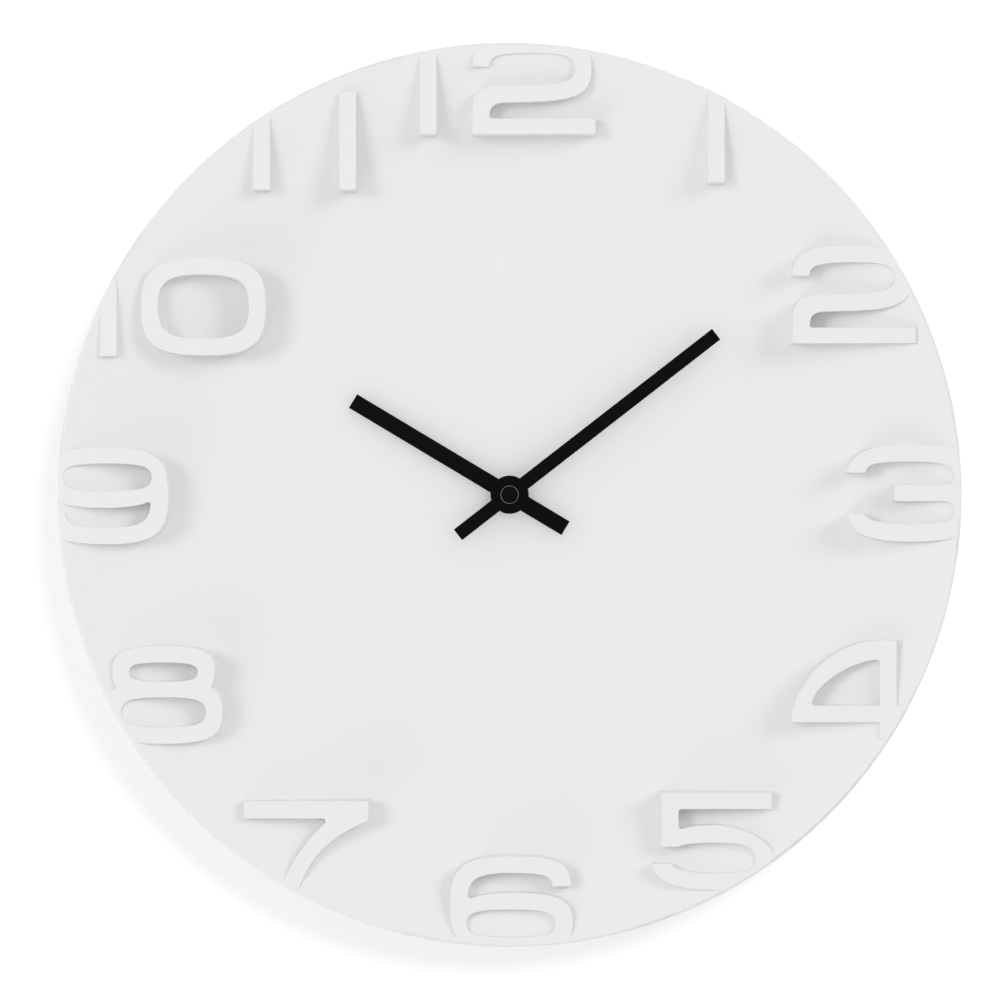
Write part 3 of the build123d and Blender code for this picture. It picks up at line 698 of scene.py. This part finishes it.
def softened(node: str, name: str, body: str, width: float) -> bpy.types.Object:
    """Merged copy of a CAD node whose outer edges are rounded; it replaces the node.

    An edge is outer where its two faces turn away from each other by more than SHARP_TURN degrees. With no width,
    the CAD triangles stay as they are and only their shading is merged.

    Args:
        node: the CAD node.
        name: the piece's name.
        body: the CAD body that it rides on.
        width: the round's width in metres, or 0 for none.

    Returns:
        The piece.
    """
    shape = bmesh.new()
    shape.from_mesh(frame["nodes"][node].data)
    bmesh.ops.remove_doubles(shape, verts=shape.verts, dist=WELD)
    if width:
        flat = math.radians(FLAT_TURN)
        bmesh.ops.dissolve_limit(shape, angle_limit=flat, verts=shape.verts, edges=shape.edges)
    mesh = bpy.data.meshes.new(name)
    shape.to_mesh(mesh)
    turns = np.degrees([edge.calc_face_angle_signed(0.0) for edge in shape.edges])
    shape.free()
    for stale in [layer for layer in mesh.attributes if layer.name == "custom_normal"]:
        mesh.attributes.remove(stale)
    mesh.polygons.foreach_set("use_smooth", np.ones(len(mesh.polygons), bool))
    sharp = mesh.attributes.get("sharp_edge") or mesh.attributes.new("sharp_edge", "BOOLEAN", "EDGE")
    sharp.data.foreach_set("value", np.abs(turns) > SHARP_TURN)
    piece = new_piece(name, mesh, body)
    if width:
        outer = np.where(turns > SHARP_TURN, 1.0, 0.0).astype(np.float32)
        mesh.attributes.new("bevel_weight_edge", "FLOAT", "EDGE").data.foreach_set("value", outer)
        bevel = piece.modifiers.new("round", "BEVEL")
        bevel.limit_method = "WEIGHT"
        bevel.width = width
        bevel.segments = ROUND_SEGMENTS
        bevel.use_clamp_overlap = True
    flats = piece.modifiers.new("flats", "WEIGHTED_NORMAL")
    flats.keep_sharp = True
    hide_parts(node)
    return piece


def lathe(name: str, profile: np.ndarray, centre: Point, steps: int) -> bpy.types.Mesh:
    """Profile turned about an axis along X.

    Point (i, j) is centre + (s_i, r_i cos t_j, r_i sin t_j), where row i of the profile is (s_i, r_i) and t_j
    runs round the circle.

    Args:
        name: the mesh's name.
        profile: rows of place along X and radius, from one end to the other.
        centre: where the axis starts.
        steps: facets round the axis.

    Returns:
        A closed mesh with smooth faces.
    """
    turn = np.linspace(0.0, 2.0 * np.pi, steps, endpoint=False)
    along = np.repeat(profile[:, :1], steps, axis=1)
    points = np.stack([along, profile[:, 1:] * np.cos(turn), profile[:, 1:] * np.sin(turn)], axis=-1)
    points = points + np.array(centre)
    rows = np.arange(len(profile) - 1)[:, None] * steps
    here = np.arange(steps)[None, :]
    after = (here + 1) % steps
    faces = np.stack([rows + here, rows + after, rows + steps + after, rows + steps + here], axis=-1)
    mesh = bpy.data.meshes.new(name)
    mesh.from_pydata(points.reshape(-1, 3).tolist(), [], faces.reshape(-1, 4).tolist())
    shape = bmesh.new()
    shape.from_mesh(mesh)
    bmesh.ops.remove_doubles(shape, verts=shape.verts, dist=WELD)
    bmesh.ops.recalc_face_normals(shape, faces=shape.faces)
    sharp = [edge for edge in shape.edges if edge.calc_face_angle(0.0) > math.radians(LATHE_TURN)]
    for edge in sharp:
        edge.smooth = False
    shape.to_mesh(mesh)
    shape.free()
    mesh.polygons.foreach_set("use_smooth", np.ones(len(mesh.polygons), bool))
    return mesh


def prism(name: str, outline: np.ndarray, back: float, front: float) -> bpy.types.Mesh:
    """Closed outline in the XZ plane carried straight along Y.

    Args:
        name: the mesh's name.
        outline: rows of X and Z, in order round the shape.
        back: Y where it starts.
        front: Y where it ends.

    Returns:
        A closed mesh.
    """
    count = len(outline)
    ends = [np.column_stack([outline[:, 0], np.full(count, y), outline[:, 1]]) for y in (back, front)]
    here = np.arange(count)
    after = (here + 1) % count
    sides = np.stack([here, after, after + count, here + count], axis=-1).tolist()
    caps = [here[::-1].tolist(), (here + count).tolist()]
    mesh = bpy.data.meshes.new(name)
    mesh.from_pydata(np.concatenate(ends).tolist(), [], sides + caps)
    shape = bmesh.new()
    shape.from_mesh(mesh)
    bmesh.ops.recalc_face_normals(shape, faces=shape.faces)
    shape.to_mesh(mesh)
    shape.free()
    return mesh


@dataclass
class Dial:
    """The dished disc with its raised numbers."""

    def build(self, paint: Paintbox) -> None:
        """Lacquers the disc, whose edges the lacquer rounds.

        Args:
            paint: the finishes.
        """
        paint.dress(softened("dial_disc", "dial_surface", "clock_body", 0.0), "white_lacquer")


@dataclass
class Hands:
    """The two baton hands and the cap on their shaft."""

    blade_round: float = 0.1 * MM
    cap_round: float = 0.18 * MM
    pieces: list[bpy.types.Object] = field(default_factory=list)

    def build(self, paint: Paintbox) -> None:
        """Rounds the stamped edges and paints them black.

        Args:
            paint: the finishes.
        """
        hour = softened("hour_hand", "hour_blade", "hour_group", self.blade_round)
        minute = softened("minute_hand", "minute_blade", "minute_group", self.blade_round)
        cap = softened("hand_cap", "shaft_cap", "minute_group", self.cap_round)
        for piece in (hour, minute):
            paint.dress(piece, "black_paint")
        paint.dress(cap, "black_paint", CAP_PAINT)
        self.pieces = [hour, minute, cap]


class Sign(Enum):
    """Raised signs on the movement's cover."""

    PLUS = "plus"
    MINUS = "minus"
    TURN = "turn"


@dataclass
class Movement:
    """The movement's case, its cover with raised signs, and the setting knob."""

    edge_round: float = 0.22 * MM
    knob_round: float = 0.2 * MM
    cover_back: float = -1.5 * MM
    sign_height: float = 0.3 * MM
    sign_bevel: float = 0.1 * MM
    sign_sink: float = 0.05 * MM
    sign_half: float = 1.6 * MM
    sign_stroke: float = 0.4 * MM
    sign_up: float = -9.6 * MM
    sign_side: float = 22.5 * MM
    knob_side: float = 16.8 * MM
    arrow_radius: float = 8.2 * MM
    arrow_stroke: float = 0.35 * MM
    arrow_head: float = 1.0 * MM
    arrow_from: float = 150.0
    arrow_to: float = 40.0
    arrow_tip: float = 14.0
    arrow_steps: int = 24

    def outline(self, sign: Sign) -> np.ndarray:
        """Outline of a raised sign in the XZ plane.

        A bar is a rectangle, a plus is two bars crossed, and the turn arrow is a band between two arcs about
        the knob, with a head at its end.

        Args:
            sign: which sign.

        Returns:
            Rows of X and Z.
        """
        long, thin = self.sign_half, self.sign_stroke
        if sign is Sign.MINUS:
            return np.array([(-long, -thin), (long, -thin), (long, thin), (-long, thin)])
        if sign is Sign.PLUS:
            arm = np.array([(thin, -thin), (long, -thin), (long, thin)])
            quarter = np.array([(0.0, 1.0), (-1.0, 0.0)])
            arms = [arm]
            for _ in range(3):
                arms.append(arms[-1] @ quarter)
            return np.concatenate(arms)
        turn = np.radians(np.linspace(self.arrow_from, self.arrow_to, self.arrow_steps))
        ring = np.column_stack([np.cos(turn), np.sin(turn)])
        tip = np.radians(self.arrow_to - self.arrow_tip)
        head = np.array([
            ring[-1] * (self.arrow_radius + self.arrow_head),
            np.array([np.cos(tip), np.sin(tip)]) * self.arrow_radius,
            ring[-1] * (self.arrow_radius - self.arrow_head),
        ])
        outer = ring * (self.arrow_radius + self.arrow_stroke)
        inner = ring[::-1] * (self.arrow_radius - self.arrow_stroke)
        return np.concatenate([outer, head, inner])

    def raise_sign(self, sign: Sign, middle: tuple[float, float], paint: Paintbox) -> None:
        """Adds one raised sign on the cover.

        Args:
            sign: which sign.
            middle: its X and Z.
            paint: the finishes.
        """
        name = "cover_" + sign.value
        outline = self.outline(sign) + np.array(middle)
        mesh = prism(name, outline, self.cover_back - self.sign_sink, self.cover_back + self.sign_height)
        piece = new_piece(name, mesh, "clock_body")
        bevel = piece.modifiers.new("round", "BEVEL")
        bevel.width = self.sign_bevel
        bevel.segments = 1
        paint.dress(piece, "case_plastic", SIGN_PLASTIC)

    def build(self, paint: Paintbox) -> None:
        """Rounds the moulded edges and raises the signs.

        Args:
            paint: the finishes.
        """
        case = softened("front_case", "case_shell", "clock_body", self.edge_round)
        cover = softened("rear_cover", "cover_shell", "clock_body", self.edge_round)
        knob = softened("setting_knob", "time_knob", "knob", self.knob_round)
        for piece in (case, cover, knob):
            paint.dress(piece, "case_plastic")
        self.raise_sign(Sign.PLUS, (self.sign_side, self.sign_up), paint)
        self.raise_sign(Sign.MINUS, (-self.sign_side, self.sign_up), paint)
        self.raise_sign(Sign.TURN, (self.knob_side, 0.0), paint)


@dataclass
class Cell:
    """The AA cell: a steel can in a film wrap."""

    bead: float = 0.5 * MM
    film: float = 0.09 * MM
    film_from: float = 0.6 * MM
    film_lip: float = 0.08 * MM
    film_to: float = 1.0 * MM
    flat_sunk: float = 0.2 * MM
    flat_inset: float = 1.6 * MM
    flat_rim: float = 1.2 * MM
    groove_sunk: float = 0.35 * MM
    groove_outer: float = 1.3 * MM
    groove_inner: float = 1.0 * MM
    foot_sunk: float = 0.1 * MM
    foot_out: float = 0.3 * MM
    nub_radius: float = 2.75 * MM
    nub_rise: float = 1.3 * MM
    nub_round: float = 0.4 * MM
    steps: int = 96
    round_steps: int = 7

    def rounded(self, end: float, radius: float, size: float) -> np.ndarray:
        """Quarter round from the side of a cylinder to its end.

        Row i is (end - size + size sin t_i, radius - |size| + |size| cos t_i), where t_i runs from 0 to a right
        angle.

        Args:
            end: the place of the cylinder's end.
            radius: its radius.
            size: the round's own radius, below 0 for an end that faces the other way.

        Returns:
            Rows of place along the cell and radius.
        """
        turn = np.linspace(0.0, np.pi / 2, self.round_steps)
        inward = abs(size)
        return np.column_stack([end - size + size * np.sin(turn), radius - inward + inward * np.cos(turn)])

    def profile(self, length: float, radius: float) -> np.ndarray:
        """Rows of place along the cell and radius, from the flat end to the nub.

        Args:
            length: the cell's length with its nub.
            radius: its outer radius.

        Returns:
            The profile.
        """
        can, nub, body = radius - self.film, self.nub_radius, length - self.nub_rise
        film_start, film_end, groove = self.film_from, body - self.film_to, body - self.groove_sunk
        flat = [(self.flat_sunk, 0.0), (self.flat_sunk, can - self.flat_inset), (0.0, can - self.flat_rim)]
        film = [(film_start, can), (film_start, radius), (film_start + self.film_lip, radius)]
        film += [(film_end, radius), (film_end, can)]
        hollow = [(groove, can - self.groove_outer), (groove, nub + self.groove_inner)]
        hollow += [(body - self.foot_sunk, nub + self.foot_out), (body, nub)]
        low = self.rounded(0.0, can, -self.bead)[::-1]
        high = self.rounded(body, can, self.bead)
        tip = self.rounded(length, nub, self.nub_round)
        return np.concatenate([flat, low, film, high, hollow, tip, [(length, 0.0)]])

    def build(self, paint: Paintbox) -> None:
        """Turns the cell where the CAD cell is and wraps it.

        Args:
            paint: the finishes.
        """
        low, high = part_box("battery")
        centre = (low.x, (low.y + high.y) / 2, (low.z + high.z) / 2)
        rows = self.profile(high.x - low.x, (high.z - low.z) / 2)
        cell = new_piece("cell_can", lathe("cell_can", rows, centre, self.steps), "cell")
        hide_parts("battery")
        paint.dress(cell, "cell")


@dataclass
class Hanger:
    """The keyhole plate on the back and its two screws."""

    plate_round: float = 0.15 * MM
    screw_round: float = 0.08 * MM

    def build(self, paint: Paintbox) -> None:
        """Rounds the stamped plate and the screws, and plates them.

        Args:
            paint: the finishes.
        """
        plate = softened("hanger_plate", "keyhole_plate", "clock_body", self.plate_round)
        screws = softened("hanger_screws", "plate_screws", "clock_body", self.screw_round)
        paint.dress(plate, "zinc")
        paint.dress(screws, "zinc", SCREW_ZINC)


@dataclass
class Fixing:
    """The nut and washers that hold the movement on the dial."""

    nut_round: float = 0.25 * MM
    washer_round: float = 0.1 * MM

    def build(self, paint: Paintbox) -> None:
        """Rounds the turned edges and leaves the brass bare.

        Args:
            paint: the finishes.
        """
        nut = softened("dial_nut", "fixing_nut", "clock_body", self.nut_round)
        washer = softened("dial_washer", "fixing_washer", "clock_body", self.washer_round)
        for piece in (nut, washer):
            paint.dress(piece, "brass")


def dress_frame(paint: Paintbox) -> None:
    """Gives every CAD node that still shows the finish of its slot in the record.

    Args:
        paint: the finishes.
    """
    slots = {row["node"]: row["material_slot"] for row in frame["record"]["subparts"]}
    for name, node in sorted(frame["nodes"].items()):
        if not node.hide_render:
            paint.dress(node, slots[name])
            LOG.info("%s keeps its CAD shape in %s", name, slots[name])


class Reach(Enum):
    """What a lamp lights: everything, all but the wall, or the wall alone."""

    ALL = ""
    CLOCK = "EXCLUDE"
    WALL = "INCLUDE"


@dataclass(frozen=True)
class Lamp:
    """One soft square lamp aimed at the clock."""

    name: str
    place: Point
    side: float
    watts: float
    reach: Reach = Reach.ALL

    def group(self, name: str, members: list[bpy.types.Object], state: str) -> bpy.types.Collection:
        """A light group of objects that the lamp takes in or leaves out.

        Args:
            name: the group's name after the lamp's own.
            members: its objects.
            state: INCLUDE or EXCLUDE.

        Returns:
            The group.
        """
        made = bpy.data.collections.new(self.name + name)
        for member in members:
            made.objects.link(member)
        for row in made.collection_objects:
            row.light_linking.link_state = state
        return made

    def build(self, wall: bpy.types.Object, hands: list[bpy.types.Object]) -> None:
        """Adds the lamp, unseen by the camera itself.

        The hands block no light of a lamp for the clock alone, because the photograph shows almost no shadow of
        theirs.

        Args:
            wall: the wall, which the lamp's reach takes in or leaves out.
            hands: the hands and their cap.
        """
        data = bpy.data.lights.new(self.name, "AREA")
        data.shape = "SQUARE"
        data.size = self.side
        data.energy = self.watts
        lamp = bpy.data.objects.new(self.name, data)
        bpy.context.scene.collection.objects.link(lamp)
        lamp.location = self.place
        aim = -lamp.location
        lamp.rotation_mode = "QUATERNION"
        lamp.rotation_quaternion = aim.to_track_quat("-Z", "Y")
        lamp.visible_camera = False
        if self.reach is not Reach.ALL:
            lamp.light_linking.receiver_collection = self.group("_reach", [wall], self.reach.value)
        if self.reach is Reach.CLOCK:
            lamp.light_linking.blocker_collection = self.group("_passes", hands, "EXCLUDE")


@dataclass
class Studio:
    """White wall, lamps, pale surroundings and the camera."""

    wall_gap: float = 0.3 * MM
    wall_half: float = 3.0
    wall_fade: float = 4.0 * MM
    wall_glow: float = 0.55
    wall_bounce: float = 0.42
    wall_colour: Colour = (0.5, 0.5, 0.5)
    ambient: float = 0.67
    ambient_behind: float = 0.34
    mirrored: float = 0.14
    mirrored_low: float = 0.25
    mirror_span: tuple[float, float] = (-0.3, 0.2)
    sky_span: tuple[float, float] = (-0.35, 0.45)
    back_span: tuple[float, float] = (-0.1, 0.1)
    distance: float = 1.45
    image: float = 1000.0
    disc_middle: tuple[float, float] = (509.6, 494.7)
    disc_pixels: float = 452.4
    disc_radius: float = 0.2
    rim_front: float = 33.5 * MM
    sensor: float = 36.0
    lamps: tuple[Lamp, ...] = (
        Lamp("front_lamp", (0.2, -5.0, 1.2), 1.8, 6.0),
        Lamp("right_lamp", (3.82, -2.5, 2.03), 2.0, 73.0, Reach.CLOCK),
        Lamp("left_lamp", (-3.474, -3.473, 0.931), 1.8, 62.0, Reach.CLOCK),
        Lamp("low_lamp", (-2.0, -0.8, -2.6), 2.0, 28.0, Reach.CLOCK),
        Lamp("wall_lamp", (1.87, -4.6, 2.08), 1.4, 116.0, Reach.WALL),
        Lamp("back_right_lamp", (0.6, 2.1, 1.2), 0.5, 25.0),
        Lamp("back_left_lamp", (-1.0, 2.1, 0.3), 0.9, 11.0),
    )

    def wall(self) -> bpy.types.Object:
        """Adds the wall: seen from its front only, and open to light from behind it.

        Light that comes back from it to the clock is dimmed, and none comes from the part that the disc covers.

        Returns:
            The wall.
        """
        half, back = self.wall_half, self.wall_gap
        corners = [(-half, back, -half), (half, back, -half), (half, back, half), (-half, back, half)]
        mesh = bpy.data.meshes.new("wall")
        mesh.from_pydata(corners, [], [(0, 1, 2, 3)])
        wall = bpy.data.objects.new("wall", mesh)
        bpy.context.scene.collection.objects.link(wall)
        made = bpy.data.materials.new("wall_paint")
        made.use_nodes = True
        graph = Graph(made.node_tree)
        rays = graph.node("ShaderNodeLightPath").outputs
        front = 1.0 - Value(graph, graph.node("ShaderNodeNewGeometry").outputs["Backfacing"])
        x, _, z = graph.axes(graph.place())
        beside = (x * x + z * z).smooth((self.disc_radius - self.wall_fade) ** 2, self.disc_radius ** 2)
        seen = Value(graph, rays["Is Camera Ray"]).most(Value(graph, rays["Is Glossy Ray"]))
        seen = seen.most(Value(graph, rays["Is Transmission Ray"]))
        seen = seen.most(Value(graph, rays["Is Diffuse Ray"]) * beside * self.wall_bounce) * front
        clear = graph.node("ShaderNodeBsdfTransparent")
        paint = graph.node("ShaderNodeBsdfDiffuse", None, {"Color": self.wall_colour})
        glow = graph.node("ShaderNodeEmission", None, {"Color": (1.0, 1.0, 1.0), "Strength": self.wall_glow})
        both = graph.node("ShaderNodeAddShader", None, {0: paint.outputs[0], 1: glow.outputs[0]})
        mix = graph.node("ShaderNodeMixShader", None, {0: seen, 1: clear.outputs[0], 2: both.outputs[0]})
        graph.node("ShaderNodeOutputMaterial", None, {"Surface": mix.outputs[0]})
        mesh.materials.append(made)
        return wall

    def surroundings(self) -> None:
        """Sets a pale world: white where it is seen, dimmer as light, and darker below in what it mirrors."""
        world = bpy.data.worlds.new("surroundings")
        world.use_nodes = True
        bpy.context.scene.world = world
        graph = Graph(world.node_tree)
        rays = graph.node("ShaderNodeLightPath").outputs
        _, into_wall, up = graph.axes(graph.node("ShaderNodeTexCoord").outputs["Generated"])
        glossy = Value(graph, rays["Is Glossy Ray"])
        behind = into_wall.smooth(*self.mirror_span)
        seen = Value(graph, rays["Is Camera Ray"]).most(Value(graph, rays["Is Transmission Ray"]))
        sky = self.mirrored_low + up.smooth(*self.sky_span) * (1.0 - self.mirrored_low)
        shown = self.mirrored + behind * (sky - self.mirrored)
        plain = self.ambient + into_wall.smooth(*self.back_span) * (self.ambient_behind - self.ambient)
        strength = plain + seen * (1.0 - plain) + glossy * (shown - plain)
        shade = graph.node("ShaderNodeBackground", None, {"Color": (1.0, 1.0, 1.0), "Strength": strength})
        graph.node("ShaderNodeOutputWorld", None, {"Surface": shade.outputs[0]})

    def camera(self) -> None:
        """Adds the camera, square to the dial and framed as the photograph is."""
        data = bpy.data.cameras.new("camera")
        pixel = self.disc_radius / self.disc_pixels
        data.sensor_width = self.sensor
        data.lens = self.sensor * self.distance / (pixel * self.image)
        across = (self.image / 2 - self.disc_middle[0]) * pixel
        up = (self.disc_middle[1] - self.image / 2) * pixel
        camera = bpy.data.objects.new("camera", data)
        bpy.context.scene.collection.objects.link(camera)
        camera.location = (across, -self.rim_front - self.distance, up)
        camera.rotation_euler = (math.pi / 2, 0.0, 0.0)
        bpy.context.scene.camera = camera

    def build(self, hands: list[bpy.types.Object]) -> None:
        """Sets the stage round the clock.

        Args:
            hands: the hands and their cap, which the clock's own lamps pass by.
        """
        wall = self.wall()
        self.surroundings()
        for lamp in self.lamps:
            lamp.build(wall, hands)
        self.camera()
        bpy.context.scene.view_settings.view_transform = "Standard"


def main() -> None:
    """Builds the clock's pieces in order, then the studio."""
    logging.basicConfig(level=logging.INFO, format="%(name)s: %(message)s")
    paint = Paintbox()
    hands = Hands()
    for part in (Dial(), hands, Movement(), Cell(), Hanger(), Fixing()):
        part.build(paint)
    dress_frame(paint)
    Studio().build(hands.pieces)


if __name__ == "__main__":
    main()
